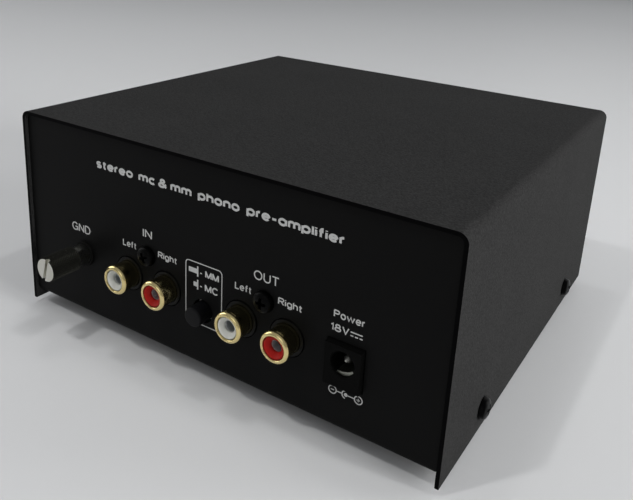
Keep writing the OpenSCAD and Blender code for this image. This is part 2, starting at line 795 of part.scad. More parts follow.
// A radial electrolytic: a can with a crimped groove near its foot, on two pins
module can(at, d, h, gap) {
    translate([at.x, at.y, z_parts]) rotate_extrude() difference() {
        union() {
            square([d / 2 - 0.4, h]);
            translate([0, 0.2]) square([d / 2, h - 0.6]);
            translate([d / 2 - 0.4, h - 0.4]) circle(0.4);
        }
        translate([d / 2 + 0.2, 1.8]) circle(0.5);
    }
    for (p = can_pins(at, gap)) solder_pin(p, 0.1);
}
function can_pins(at, gap) = [for (k = [-1, 1]) [at.x + k * gap / 2, at.y]];

small_d = 6.3;
small_h = 11;
small_gap = 2.5;
small_x = 13;
small_first = 14;
small_step = 10;
small_spots = [for (c = channels, k = [0:2])
    [c * small_x, row_y + small_first + small_step * k]];
module small_electrolytics() color([0.12, 0.14, 0.3])
    for (at = small_spots) can(at, small_d, small_h, small_gap);

supply_d = 12.5;
supply_h = 21;
supply_gap = 5;
supply_x = 40;
supply_in = 22;
supply_spots = [for (c = channels) [c * supply_x, board_back - supply_in]];
module supply_electrolytics() color([0.1, 0.1, 0.12])
    for (at = supply_spots) can(at, supply_d, supply_h, supply_gap);

// Axial resistors: a body with bulged ends, between two bent leads
resistor_l = 6.3;
resistor_d = 2.3;
resistor_span = 10.16;
resistor_first = 16;
resistor_pitch = 3.2;
resistor_spots = [for (c = channels, k = [0:2], row = [0, 1])
    [c * chip_x, row_y + resistor_first + resistor_pitch * k + stage_pitch * row]];
function resistor_pins(at) = [for (k = [-1, 1]) [at.x + k * resistor_span / 2, at.y]];
module resistors() color([0.35, 0.5, 0.6]) for (at = resistor_spots) {
    axis_z = z_parts + resistor_d / 2 + 0.15;
    translate([at.x, at.y, axis_z]) rotate([0, 90, 0]) {
        cylinder(d = resistor_d - 0.3, h = resistor_l, center = true);
        for (k = [-1, 1])
            translate([0, 0, k * (resistor_l / 2 - 0.8)])
                cylinder(d = resistor_d, h = 1.4, center = true);
        cylinder(r = lead_r, h = resistor_span, center = true, $fn = 24);
    }
    for (p = resistor_pins(at)) {
        translate([p.x, p.y, z_board - pin_below])
            cylinder(r = lead_r, h = axis_z - z_board + pin_below, $fn = 24);
        translate([p.x, p.y, axis_z]) sphere(r = lead_r, $fn = 24);
    }
}

// Regulators: a moulded body with a drilled metal tab, on three legs
regulator_w = 10;
regulator_t = 3.2;
regulator_h = 9;
regulator_leg = 4;
tab_t = 1.3;
tab_h = 15.5;
tab_hole_z = 12.5;
regulator_x = 12;
regulator_in = 14;
regulator_spots = [for (c = channels) [c * regulator_x, board_back - regulator_in]];
function regulator_pins(at) = [for (k = [-1:1]) [at.x + pin_pitch * k, at.y]];
module voltage_regulators() for (at = regulator_spots) {
    z_body = z_parts + regulator_leg;
    color(black) translate([at.x - regulator_w / 2, at.y - regulator_t + 1, z_body])
        cube([regulator_w, regulator_t, regulator_h]);
    color(tin) difference() {
        translate([at.x - regulator_w / 2, at.y + 1, z_body])
            cube([regulator_w, tab_t, tab_h]);
        along_y(at.x, at.y, z_body + tab_hole_z) cylinder(d = 3.6, h = tab_t + 2 * cut);
    }
    color(tin) for (p = regulator_pins(at)) solder_pin(p, regulator_leg + 0.2);
}

// Every solder hole of the board
board_pins = concat(
    [for (x = socket_xs, y = socket_pin_ys) [x, y]],
    switch_pins,
    inlet_pins,
    led_pins,
    [for (at = chip_spots) each chip_pins(at)],
    [for (at = film_spots) each film_pins(at)],
    [for (at = small_spots) each can_pins(at, small_gap)],
    [for (at = supply_spots) each can_pins(at, supply_gap)],
    [for (at = resistor_spots) each resistor_pins(at)],
    [for (at = regulator_spots) each regulator_pins(at)]);

cover();
chassis();
cover_screws();
rubber_feet();
foot_screws();
foot_nuts();
circuit_board();
board_standoffs();
board_screws();
input_housing();
output_housing();
socket_screws();
input_left_shell();
input_right_shell();
output_left_shell();
output_right_shell();
input_left_insulator();
input_right_insulator();
output_left_insulator();
output_right_insulator();
input_left_contact();
input_right_contact();
output_left_contact();
output_right_contact();
mode_button();
mode_plunger();
mode_spring();
mode_switch_housing();
mode_switch_pins();
inlet_housing();
inlet_pin();
inlet_spring();
ground_thumbscrew();
ground_washer();
ground_nut();
power_led();
amplifier_chips();
film_capacitors();
small_electrolytics();
supply_electrolytics();
resistors();
voltage_regulators();
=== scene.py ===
import math
import bmesh
import bpy
from mathutils import Matrix, Vector


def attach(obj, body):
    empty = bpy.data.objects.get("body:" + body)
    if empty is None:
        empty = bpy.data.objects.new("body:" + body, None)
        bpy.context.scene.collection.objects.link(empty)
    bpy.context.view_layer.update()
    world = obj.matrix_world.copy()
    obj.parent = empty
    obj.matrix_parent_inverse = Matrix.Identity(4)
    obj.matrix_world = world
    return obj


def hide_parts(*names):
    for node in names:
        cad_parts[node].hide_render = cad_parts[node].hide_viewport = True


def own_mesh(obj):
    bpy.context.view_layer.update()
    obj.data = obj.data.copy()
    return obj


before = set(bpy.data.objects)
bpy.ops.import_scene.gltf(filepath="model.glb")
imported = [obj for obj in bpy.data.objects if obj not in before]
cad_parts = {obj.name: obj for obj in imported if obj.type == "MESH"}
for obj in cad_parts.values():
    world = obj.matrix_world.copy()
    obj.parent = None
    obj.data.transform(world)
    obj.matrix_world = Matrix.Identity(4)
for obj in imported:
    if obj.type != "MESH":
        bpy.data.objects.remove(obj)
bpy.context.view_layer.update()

mm = 0.001
scene = bpy.context.scene
scene.view_settings.view_transform = "Standard"
print("frame loaded:", len(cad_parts), "nodes")


# shader maths

class Wire:  # an output socket that takes part in arithmetic
    def __init__(self, paint, socket):
        self.paint = paint
        self.socket = socket

    def isNumber(self):
        return self.socket.type == "VALUE"

    def __add__(self, other):
        return self.paint.maths("ADD", self, other)

    def __radd__(self, other):
        return self.paint.maths("ADD", other, self)

    def __sub__(self, other):
        return self.paint.maths("SUBTRACT", self, other)

    def __rsub__(self, other):
        return self.paint.maths("SUBTRACT", other, self)

    def __mul__(self, other):
        return self.paint.maths("MULTIPLY", self, other)

    def __rmul__(self, other):
        return self.paint.maths("MULTIPLY", other, self)


class Paint:  # a material on one Principled shader
    def __init__(self, name, **constants):
        self.material = bpy.data.materials.new(name)
        self.material.use_nodes = True
        self.tree = self.material.node_tree
        self.shader = self.tree.nodes["Principled BSDF"]
        self.spot = None
        for socket, value in constants.items():
            self.feed(socket, value)

    def feed(self, socket, value):  # baseColor goes to the socket Base Color
        words = "".join(" " + c.lower() if c.isupper() else c for c in socket).split()
        target = self.shader.inputs[" ".join(w.capitalize() for w in words).replace("Ior", "IOR")]
        if isinstance(value, Wire):
            self.tree.links.new(value.socket, target)
        elif target.type == "RGBA" and len(value) == 3:
            target.default_value = (*value, 1)
        else:
            target.default_value = value

    def node(self, kind, settings=None, sockets=None, out=0):
        made = self.tree.nodes.new("ShaderNode" + kind)
        for name, value in (settings or {}).items():
            if name == "stops":
                self.setStops(made.color_ramp.elements, value)
            else:
                setattr(made, name, value)
        for name, value in (sockets or {}).items():
            target = made.inputs[name]
            if isinstance(value, Wire):
                self.tree.links.new(value.socket, target)
            else:
                target.default_value = value
        return Wire(self, made.outputs[out])

    def setStops(self, elements, stops):
        while len(elements) < len(stops):
            elements.new(0.5)
        for element, (place, level) in zip(elements, stops):
            element.position = place
            element.color = (level, level, level, 1)

    def maths(self, operation, left, right):
        if all(w.isNumber() for w in (left, right) if isinstance(w, Wire)):
            return self.node("Math", {"operation": operation}, {0: left, 1: right})
        first, second = (w if isinstance(w, (Wire, tuple)) else (w, w, w) for w in (left, right))
        return self.node("VectorMath", {"operation": operation}, {0: first, 1: second})

    def place(self):  # the part's own coordinates in millimetres
        if not self.spot:
            self.spot = self.node("TexCoord", out="Object") * (1 / mm)
        return self.spot

    def axis(self, name):  # one coordinate in millimetres
        return self.node("SeparateXYZ", None, {0: self.place()}, name)

    def noise(self, scale, detail=2, rough=0.5):
        sockets = {"Vector": self.place(), "Scale": scale, "Detail": detail, "Roughness": rough}
        return self.node("TexNoise", None, sockets)

    def near(self, value, centre, half):  # 1 where the value is within half of centre
        return self.node("Math", {"operation": "COMPARE"}, {0: value, 1: centre, 2: half})

    def level(self, value, *stops):  # a ramp read as a number
        grey = self.node("ValToRGB", {"stops": stops}, {0: value})
        return self.node("RGBToBW", None, {0: grey})

    def mix(self, share, first, second):
        first, second = (w if isinstance(w, Wire) else (*w, 1) for w in (first, second))
        return self.node("Mix", {"data_type": "RGBA"}, {0: share, 6: first, 7: second}, 2)

    def bump(self, height, distance, strength=1.0):
        sockets = {"Height": height, "Distance": distance * mm, "Strength": strength}
        return self.node("Bump", None, sockets)


# camera, floor and light

view = {"place": (109.6, -183.9, 120.0), "turn": 32.755, "drop": 17.259, "roll": 2.737,
        "lens": 41.13, "shift": (0.028, -0.169), "clip": (0.01, 20)}


def aimCamera():
    turn, drop, roll = (math.radians(view[k]) for k in ("turn", "drop", "roll"))
    ahead = Vector((-math.sin(turn) * math.cos(drop), math.cos(turn) * math.cos(drop), -math.sin(drop)))
    right = Vector((math.cos(turn), math.sin(turn), 0))
    up = right.cross(ahead)
    axisX = math.cos(roll) * right + math.sin(roll) * up
    axisY = math.cos(roll) * up - math.sin(roll) * right
    data = bpy.data.cameras.new("camera")
    data.lens = view["lens"]
    data.shift_x, data.shift_y = view["shift"]
    data.clip_start, data.clip_end = view["clip"]
    camera = bpy.data.objects.new("camera", data)
    camera.matrix_world = Matrix.Translation(Vector(view["place"]) * mm) @ Matrix(
        (axisX, axisY, -ahead)).transposed().to_4x4()
    scene.collection.objects.link(camera)
    scene.camera = camera


aimCamera()

# the table's colour darkens from near to far over fade mm: painted shade for the lamps' falloff
table = {"reach": 4000, "near": (0.564, 0.567, 0.572), "far": (0.47, 0.475, 0.48), "fade": 900,
         "mottle": 0.004, "roughness": (0.42, 0.1)}


def layFloor():
    paint = Paint("tableTop", specularIorLevel=0.35)
    depth = paint.level(paint.axis("Y") * mm, (0, 0), (table["fade"] * mm, 1))
    mottle = paint.noise(table["mottle"], 3)
    least, more = table["roughness"]
    # near to far colour ramp: painted shade farther back
    paint.feed("baseColor", paint.mix(depth, table["near"], table["far"]))
    paint.feed("roughness", least + mottle * more)
    bm = bmesh.new()
    reach = table["reach"] * mm
    corners = [bm.verts.new((x * reach, y * reach, 0)) for x, y in ((-1, -1), (1, -1), (1, 1), (-1, 1))]
    bm.faces.new(corners)
    mesh = bpy.data.meshes.new("floor")
    bm.to_mesh(mesh)
    bm.free()
    mesh.materials.append(paint.material)
    floor = bpy.data.objects.new("floor", mesh)
    scene.collection.objects.link(floor)


layFloor()

lamps = {
    "key": {"place": (-65, -245, 545), "size": 18, "watts": 0.68},
    "second": {"place": (410, -20, 900), "size": 36, "watts": 1.25},
    "rear": {"place": (-110, 83, 900), "size": 50, "watts": 0.46},
    "back": {"place": (100, 1100, 700), "size": 900, "watts": 2.0},
    "flank": {"place": (2200, -60, 500), "size": 880, "watts": 5.6, "spread": 50},
    "left": {"place": (-1000, -200, 500), "size": 700, "watts": 3.45},
    "front": {"place": (200, -1100, 600), "size": 700, "watts": 1.1},
    "corner": {"place": (1300, 840, 600), "size": 600, "watts": 8.8},
}
unseen = ("key", "second", "rear", "flank")  # they'd show as spots in the gold and on the table
room = {"aim": (0, 0, 30), "tint": (0.95, 0.97, 1, 1), "strength": 0.3}


def hangLamps():
    for name, lamp in lamps.items():
        data = bpy.data.lights.new(name, "AREA")
        data.size = lamp["size"] * mm
        data.energy = lamp["watts"]
        data.spread = math.radians(lamp.get("spread", 180))
        light = bpy.data.objects.new(name, data)
        place = Vector(lamp["place"]) * mm
        light.location = place
        light.rotation_euler = (place - Vector(room["aim"]) * mm).to_track_quat("Z", "Y").to_euler()
        light.visible_glossy = name not in unseen
        scene.collection.objects.link(light)
    world = bpy.data.worlds.new("room")
    scene.world = world
    world.use_nodes = True
    background = world.node_tree.nodes["Background"]
    background.inputs["Color"].default_value = room["tint"]
    background.inputs["Strength"].default_value = room["strength"]


hangLamps()
print("camera, floor and lamps placed")


# mesh helpers, all in millimetres of the part's own frame

edges = {"sharp": 35, "flat": 0.4, "weld": 0.001}  # degrees, degrees, millimetres


def alongY(x, y, z):  # a turned piece's own axis runs along +Y from this point
    return Matrix.Translation((x, y, z)) @ Matrix.Rotation(-math.pi / 2, 4, "X")


def meshOf(name, bm):
    bmesh.ops.recalc_face_normals(bm, faces=bm.faces)
    mesh = bpy.data.meshes.new(name)
    bm.to_mesh(mesh)
    bm.free()
    return mesh


def dressed(name, mesh, paints, body="case", stands=(), slot=None, smooth=edges["sharp"]):
    for paint in paints if isinstance(paints, list) else [paints]:
        mesh.materials.append(paint.material)
    mesh.shade_smooth()
    mesh.set_sharp_from_angle(angle=math.radians(smooth))
    piece = bpy.data.objects.new(name, mesh)
    scene.collection.objects.link(piece)
    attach(piece, body)
    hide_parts(*([stands] if isinstance(stands, str) else stands))
    return piece


def newPiece(name, bm, paints, **rest):
    mesh = meshOf(name, bm)
    mesh.transform(Matrix.Scale(mm, 4))
    return dressed(name, mesh, paints, **rest)


def frozen(piece):  # the modifiers' result becomes the mesh
    depsgraph = bpy.context.evaluated_depsgraph_get()
    made = bpy.data.meshes.new_from_object(piece.evaluated_get(depsgraph), depsgraph=depsgraph)
    piece.modifiers.clear()
    piece.data = made
    return piece


def cadMesh(node):  # a welded copy of a CAD node, in millimetres
    bm = bmesh.new()
    bm.from_mesh(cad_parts[node].data)
    bm.transform(Matrix.Scale(1 / mm, 4))
    bmesh.ops.remove_doubles(bm, verts=bm.verts, dist=edges["weld"])
    flat = math.radians(edges["flat"])
    bmesh.ops.dissolve_limit(bm, angle_limit=flat, verts=bm.verts, edges=bm.edges)
    return bm


# a CAD node with rounded edges; paintOf picks a face's material by its middle
def softened(name, node, paints, width=0.15, segments=2, paintOf=None, add=None, **rest):
    bm = cadMesh(node)
    if add:
        add(bm)
    for face in bm.faces:
        face.material_index = paintOf(face.calc_center_median()) if paintOf else 0
    piece = newPiece(name, bm, paints, stands=node, **rest)
    bevel = piece.modifiers.new("edges", "BEVEL")
    bevel.width = width * mm
    bevel.segments = segments
    bevel.limit_method = "ANGLE"
    bevel.angle_limit = math.radians(edges["sharp"])
    bevel.harden_normals = True
    return frozen(piece)


def carved(bm, cutter):  # bm less the cutter's volume
    pieces = []
    for part in (bm, cutter):
        pieces.append(bpy.data.objects.new("part", meshOf("part", part)))
        scene.collection.objects.link(pieces[-1])
    cut = pieces[0].modifiers.new("cut", "BOOLEAN")
    cut.object = pieces[1]
    frozen(pieces[0])
    left = bmesh.new()
    left.from_mesh(pieces[0].data)
    for piece in pieces:
        bpy.data.objects.remove(piece)
    return left


def rounded(corners, steps=6):  # outline points from corners (a, b) or (a, b, fillet radius)
    outline = []
    for i, corner in enumerate(corners):
        here = Vector(corner[:2])
        if len(corner) < 3:
            outline.append(here)
            continue
        back = (Vector(corners[i - 1][:2]) - here).normalized()
        ahead = (Vector(corners[(i + 1) % len(corners)][:2]) - here).normalized()
        half = back.angle(ahead) / 2
        reach = corner[2] / math.tan(half)
        centre = here + (back + ahead).normalized() * corner[2] / math.sin(half)
        start = here + back * reach - centre
        end = here + ahead * reach - centre
        sweep = start.angle(end)
        for k in range(steps + 1):
            share = [math.sin(sweep * t) / math.sin(sweep) for t in (1 - k / steps, k / steps)]
            outline.append(centre + start * share[0] + end * share[1])
    return outline


def addTurned(bm, outline, matrix=Matrix(), steps=96):  # a closed outline of (radius, height)
    rings = []
    for radius, height in outline:
        count = 1 if radius < 1e-6 else steps
        ring = []
        for k in range(count):
            angle = 2 * math.pi * k / steps
            spot = Vector((radius * math.cos(angle), radius * math.sin(angle), height))
            ring.append(bm.verts.new(matrix @ spot))
        rings.append(ring)
    for low, high in zip(rings, rings[1:] + rings[:1]):
        if len(low) == 1 and len(high) == 1:
            continue
        for k in range(steps):
            n = k + 1
            corners = (low[k % len(low)], low[n % len(low)], high[n % len(high)], high[k % len(high)])
            bm.faces.new(list(dict.fromkeys(corners)))


def addSkin(bm, rows, matrix=Matrix()):  # rings of points, joined and closed at both ends
    rings = [[bm.verts.new(matrix @ Vector(spot)) for spot in row] for row in rows]
    for low, high in zip(rings, rings[1:]):
        for k in range(len(low)):
            n = (k + 1) % len(low)
            bm.faces.new((low[k], low[n], high[n], high[k]))
    bm.faces.new(reversed(rings[0]))
    bm.faces.new(rings[-1])


def addBlock(bm, low, high):
    (x0, y0, z0), (x1, y1, z1) = low, high
    addSkin(bm, [[(x0, y0, z), (x1, y0, z), (x1, y1, z), (x0, y1, z)] for z in (z0, z1)])


def circle(x, z, radius, start=0, end=360, steps=32):
    count = max(2, round(steps * (end - start) / 360))
    last = count if end - start == 360 else count + 1
    angles = [math.radians(start + (end - start) * k / count) for k in range(last)]
    return [(x + radius * math.cos(a), z + radius * math.sin(a)) for a in angles]


def addThread(bm, radius, depth, pitch, low, high, steps, perTurn=4):  # a rod from low to high
    rows = []
    count = max(2, round((high - low) / pitch * perTurn))
    for i in range(count + 1):
        z = low + (high - low) * i / count
        row = []
        for k in range(steps):
            phase = (z / pitch + k / steps) % 1
            groove = 1 - abs(2 * phase - 1)
            r = radius - depth * groove if 0 < i < count else radius - depth
            angle = 2 * math.pi * k / steps
            row.append((r * math.cos(angle), r * math.sin(angle), z))
        rows.append(row)
    addSkin(bm, rows)


# finishes

coat = {"dark": (0.0174, 0.0174, 0.0173), "light": (0.0208, 0.0208, 0.0206), "cloud": 0.05,
        "grain": 2.2, "swing": 1.9, "lift": 0.05, "roughness": (0.8, 0.2), "bump": 0.1}
satin = {"dark": (0.0045, 0.0045, 0.0046), "light": (0.0062, 0.0062, 0.0060), "cloud": 0.04,
         "fine": 4, "roughness": (0.42, 0.1), "bump": 0.01}
metals = {"stain": 0.6, "fine": 3.5, "rough": 0.6}
plastics = {"cloud": 0.25, "roughness": 0.1}


def coatPaint():  # fine-textured powder coat
    paint = Paint("powderCoat", specularIorLevel=0.05)
    grain = paint.noise(coat["grain"])
    cloud = paint.noise(coat["cloud"])
    least, more = coat["roughness"]
    shade = paint.mix(cloud, coat["dark"], coat["light"])
    paint.feed("baseColor", shade * (grain * coat["swing"] + coat["lift"]))
    paint.feed("roughness", least + grain * more)
    paint.feed("normal", paint.bump(grain, coat["bump"]))
    return paint


def satinPaint():  # smooth satin enamel of the panel
    paint = Paint("satinEnamel", specularIorLevel=0.04)
    cloud = paint.noise(satin["cloud"], 3)
    fine = paint.noise(satin["fine"])
    least, more = satin["roughness"]
    paint.feed("baseColor", paint.mix(cloud, satin["dark"], satin["light"]))
    paint.feed("roughness", least + cloud * more)
    paint.feed("normal", paint.bump(fine, satin["bump"], 0.5))
    return paint


def metalPaint(name, tint, roughness, worn=0.06, bump=0.004):
    paint = Paint(name, metallic=1)
    stain = paint.noise(metals["stain"], 3)
    fine = paint.noise(metals["fine"], 3, metals["rough"])
    paint.feed("baseColor", paint.mix(stain, tint, tuple(c * (1 - 2 * worn) for c in tint)))
    paint.feed("roughness", roughness + fine * worn)
    paint.feed("normal", paint.bump(fine, bump, 0.5))
    return paint


def plasticPaint(name, tint, roughness, grain=0.01, specular=0.4, spread=0.12, scale=2.2):
    paint = Paint(name, specularIorLevel=specular)
    fine = paint.noise(scale, 3)
    cloud = paint.noise(plastics["cloud"])
    paint.feed("baseColor", paint.mix(cloud, tint, tuple(c * (1 - spread) for c in tint)))
    paint.feed("roughness", roughness + fine * plastics["roughness"])
    paint.feed("normal", paint.bump(fine, grain, 0.5))
    return paint


powderCoat = coatPaint()
satinEnamel = satinPaint()
# near-black for the cover's cut ends: painted shade for the dark gap between cover and panel
rimShade = plasticPaint("coverEdgeShade", (0.0016, 0.0016, 0.0017), 0.5, 0.006, 0.02)
gold = metalPaint("goldPlate", (0.84, 0.69, 0.33), 0.20, 0.04, 0.0002)
# a darker copy of the gold plate: painted shade for the dark panel the barrel reflects
shadedGoldBarrel = metalPaint("shadedGoldBarrel", (0.64, 0.56, 0.29), 0.17, 0.04, 0.0002)
nickel = metalPaint("nickelPlate", (0.64, 0.63, 0.57), 0.26, 0.08)
zinc = metalPaint("zincSteel", (0.70, 0.71, 0.72), 0.32, 0.08)
tin = metalPaint("tinPlate", (0.78, 0.77, 0.74), 0.30, 0.06)
springSteel = metalPaint("springSteel", (0.55, 0.55, 0.56), 0.26, 0.06)
contactTin = metalPaint("contactTin", (0.80, 0.82, 0.82), 0.5, 0.05)
# a dark copy of the tin for the inlet's leaf: painted shade inside the bore
leafShadedTin = metalPaint("leafShadedTin", (0.30, 0.31, 0.27), 0.38, 0.06)
# a darkened copy of the nickel for the inlet's pin: painted shade inside the bore
pinShadedNickel = metalPaint("pinShadedNickel", (0.48, 0.48, 0.44), 0.36, 0.05)
# a mid-dark copy of the nickel for the thumbscrew's neck and thread: painted shade
neckShadedNickel = metalPaint("neckShadedNickel", (0.36, 0.36, 0.33), 0.25, 0.06)
blackScrew = metalPaint("blackOxide", (0.0065, 0.0065, 0.0065), 0.36, 0.08)
socketBlack = plasticPaint("socketPlastic", (0.0036, 0.0036, 0.0034), 0.34, 0.004, 0.12)
buttonBlack = plasticPaint("buttonPlastic", (0.0036, 0.0036, 0.0042), 0.42, 0.006, 0.12)
inletBlack = plasticPaint("inletPlastic", (0.0032, 0.0032, 0.0031), 0.56, 0.006, 0.03)
washerBlack = plasticPaint("fibreWasher", (0.0054, 0.0053, 0.0050), 0.6, 0.012, 0.05)
# a near-black copy of the nickel for the knurled barrel: painted shade for the dark surroundings it
# reflects
knurlShade = metalPaint("knurlShadedNickel", (0.058, 0.057, 0.048), 0.22, 0.08)
rubber = plasticPaint("footRubber", (0.018, 0.018, 0.018), 0.75, 0.02, 0.3)
whitePlug = plasticPaint("whitePlug", (0.60, 0.60, 0.55), 0.38, 0.004, 0.45, 0.06)
redPlug = plasticPaint("redPlug", (0.36, 0.008, 0.004), 0.45, 0.004, 0.2, 0.12)
plungerWhite = plasticPaint("plungerPlastic", (0.55, 0.54, 0.50), 0.45, 0.006, 0.4)
switchBlack = plasticPaint("switchPlastic", (0.010, 0.010, 0.011), 0.45, 0.006, 0.3)
ink = plasticPaint("whiteInk", (0.52, 0.52, 0.51), 0.6, 0.004, 0.3, 0.06, 5)
print("finishes mixed")


# case

cover = {"ends": (-57.0, 70.0), "edge": 0.22, "panEdge": 0.15}
# faces at both cut ends of the cover take rimShade, a painted shade for the gap round the panel
softened("coverSkin", "cover", [powderCoat, rimShade], cover["edge"], 3, slot="cover_paint",
         paintOf=lambda spot: int(min(abs(spot.y - end) for end in cover["ends"]) < 0.01))
softened("chassisPan", "chassis", satinEnamel, cover["panEdge"], 2, slot="panel_paint")

panHead = {"radius": 2.9, "height": 2.0, "dome": 0.9, "cross": (0.8, 3.2, 1.2), "firstTurn": 23,
           "nextTurn": 67, "shank": 1.5, "thread": 0.28, "pitch": 0.5}


def screwMesh(long):  # the head stands on z = 0, the shank goes down
    bm = bmesh.new()
    radius, height, dome, shank = (panHead[k] for k in ("radius", "height", "dome", "shank"))
    core = shank - 0.2
    outline = rounded([(0, height), (1.1, height - 0.02), (radius - 0.28, height * 0.72, dome),
                       (radius, 0.3, 0.25), (radius, 0, 0.08), (core, 0), (core, -0.3), (0, -0.3)], 6)
    addTurned(bm, outline, steps=48)
    width, length, deep = panHead["cross"]
    for turn in (0, 90):
        cutter = bmesh.new()
        rows = []
        for z, a, b in ((height - deep, 0.45, 0.55), (height, 1, 1), (height + 0.5, 1.2, 1.2)):
            x, y = length * a / 2, width * b / 2
            rows.append([(-x, -y, z), (x, -y, z), (x, y, z), (-x, y, z)])
        addSkin(cutter, rows, Matrix.Rotation(math.radians(turn), 4, "Z"))
        bm = carved(bm, cutter)
    addThread(bm, shank, panHead["thread"], panHead["pitch"], -long, -0.1, 20)
    return meshOf("screw", bm)


def setScrews(name, node, paint, long, places, slot):  # no two crosses stand at the same turn
    source = screwMesh(long)
    bm = bmesh.new()
    for index, place in enumerate(places):
        turn = math.radians(panHead["firstTurn"] + panHead["nextTurn"] * index)
        mesh = source.copy()
        mesh.transform(place @ Matrix.Rotation(turn, 4, "Z"))
        bm.from_mesh(mesh)
    newPiece(name, bm, paint, stands=node, slot=slot)


coverScrew = {"long": 6, "x": 68.5, "ys": (-32, 45), "z": 8.2}
setScrews("coverScrewSet", "cover_screws", blackScrew, coverScrew["long"], [
    Matrix.Translation((side * coverScrew["x"], y, coverScrew["z"]))
    @ Matrix.Rotation(math.radians(90 * side), 4, "Y")
    for side in (-1, 1) for y in coverScrew["ys"]], "screw_black")
socketScrew = {"long": 7, "xs": (-19.6, 19.6), "y": -56, "z": 30.9}
setScrews("socketScrewSet", "socket_screws", blackScrew, socketScrew["long"], [
    Matrix.Translation((x, socketScrew["y"], socketScrew["z"]))
    @ Matrix.Rotation(math.radians(90), 4, "X")
    for x in socketScrew["xs"]], "screw_black")
print("case dressed")


# phono sockets; a tail is given by half its width, its thickness and its top

phono = {"sockets": (("input", "left", -26.6), ("input", "right", -12.6),
                     ("output", "left", 12.6), ("output", "right", 26.6)),
         "front": -62.0, "height": 23.4, "rim": 4.175, "rimLong": 1.75, "barrel": 3.9, "bore": 3.05,
         "long": 15.6, "tail": {"half": 1.0, "thick": 0.6, "top": 20.05}}
solderPin = {"radius": 0.4, "tip": 14.2, "foot": 17.3}


def addTail(bm, x, y, half, thick, top):  # a flat tail down to its solder pin
    radius, tip, foot = (solderPin[k] for k in ("radius", "tip", "foot"))
    end = foot + 0.05
    addBlock(bm, (x - half, y - thick / 2, foot), (x + half, y + thick / 2, top))
    addTurned(bm, [(0, tip), (radius * 0.7, tip), (radius, tip + 0.3), (radius, end), (0, end)],
              Matrix.Translation((x, y, 0)), 24)


def socketShell(name, x, node):  # a turned barrel with a rolled rim
    bm = bmesh.new()
    front, rim, barrel, bore = (phono[k] for k in ("front", "rim", "barrel", "bore"))
    rimLong, long = phono["rimLong"], phono["long"]
    outline = rounded([(bore, 0.36, 0.1), (bore + 0.12, 0, 0.3), (rim, 0, 0.94), (rim, rimLong, 0.5),
                       (barrel, rimLong + 0.1, 0.06), (barrel, long, 0.12), (bore, long)], 8)
    addTurned(bm, outline, alongY(x, front, phono["height"]), 128)
    addTail(bm, x, front + long - 0.7, **phono["tail"])
    for face in bm.faces:  # the barrel keeps a deeper polish than the rim and a darker gold, painted shade for the dark panel it reflects
        face.material_index = int(face.calc_center_median().y > front + rimLong + 0.04)
    newPiece(name, bm, [gold, shadedGoldBarrel], stands=node, slot="gold_plate", smooth=50)


# dish: radius and depth; seat: radius and where it starts; lining: radii, start and end
plug = {"front": 0.3, "radius": 3.0, "lip": 2.82, "dish": (2.6, 1.05), "hole": 1.6, "seat": (2.25, 4.45),
        "back": 15.0, "lining": (1.5, 1.58, 1.9, 4.15),
        "looks": {"left": (whitePlug, "insulator_white"), "right": (redPlug, "insulator_red")}}


def socketPlug(name, x, paint, node, slotName):  # a dished moulding, stepped behind for its contact
    bm = bmesh.new()
    front, radius, hole, back = (plug[k] for k in ("front", "radius", "hole", "back"))
    dish, deep = plug["dish"]
    seat, seatAt = plug["seat"]
    outline = rounded([(hole, front + deep, 0.4), (dish, front + 0.04, 0.2), (plug["lip"], front, 0.08),
                       (radius, front + 0.34, 0.1), (radius, back, 0.1), (seat, back), (seat, seatAt),
                       (hole, seatAt)], 5)
    addTurned(bm, outline, alongY(x, phono["front"], phono["height"]))
    newPiece(name, bm, paint, stands=node, slot=slotName, smooth=50)


def socketSleeve(name, x, node):  # the split contact, with the thin lining that shows in the hole
    inner, outer, start, end = plug["lining"]

    def addLining(bm):
        outline = rounded([(inner, start, 0.06), (outer, start, 0.06), (outer, end), (inner, end)], 4)
        addTurned(bm, outline, alongY(x, phono["front"], phono["height"]), 64)

    softened(name, node, contactTin, 0.05, 2, add=addLining, slot="tin_plate")


for side, channel, x in phono["sockets"]:
    name = side + channel.capitalize()
    node = side + "_" + channel
    socketShell(name + "Shell", x, node + "_shell")
    plugPaint, plugSlot = plug["looks"][channel]
    socketPlug(name + "Plug", x, plugPaint, node + "_insulator", plugSlot)
    socketSleeve(name + "Sleeve", x, node + "_contact")
for side in ("input", "output"):
    softened(side + "Block", side + "_housing", socketBlack, 0.12, 2, slot="socket_plastic")
print("sockets made")


# mode switch and power inlet

softened("modeCap", "mode_button", buttonBlack, 0.35, 4, body="button", slot="button_plastic")
softened("modePlunger", "mode_plunger", plungerWhite, 0.1, 2, body="button", slot="plunger_plastic")
softened("modeSwitchBody", "mode_switch_housing", switchBlack, 0.15, 2, slot="switch_plastic")
softened("modeSwitchLegs", "mode_switch_pins", tin, 0.04, 2, slot="tin_plate")
softened("inletBlock", "inlet_housing", inletBlack, 0.25, 3, slot="inlet_plastic")

# pin: radius, front and back; stem: radius and end; leaf: radius, thickness and front
inlet = {"x": 42.8, "z": 23.4, "pin": (1.0, -55.7, -48.2), "stem": (0.75, -45.0),
         "pinTail": {"y": -44.85, "half": 1.25, "thick": 0.5, "top": 24.4},
         "leaf": (3.12, 0.42, -56.75), "leafSpread": (238, 332), "lip": 0.5,
         "lipFade": ((0, 1), (0.3, 0.55), (0.9, 0.15), (2, 0), (6.75, 0.3)),
         "leafTail": {"y": -49.2, "half": 1.5, "thick": 0.4, "top": 20.4}}


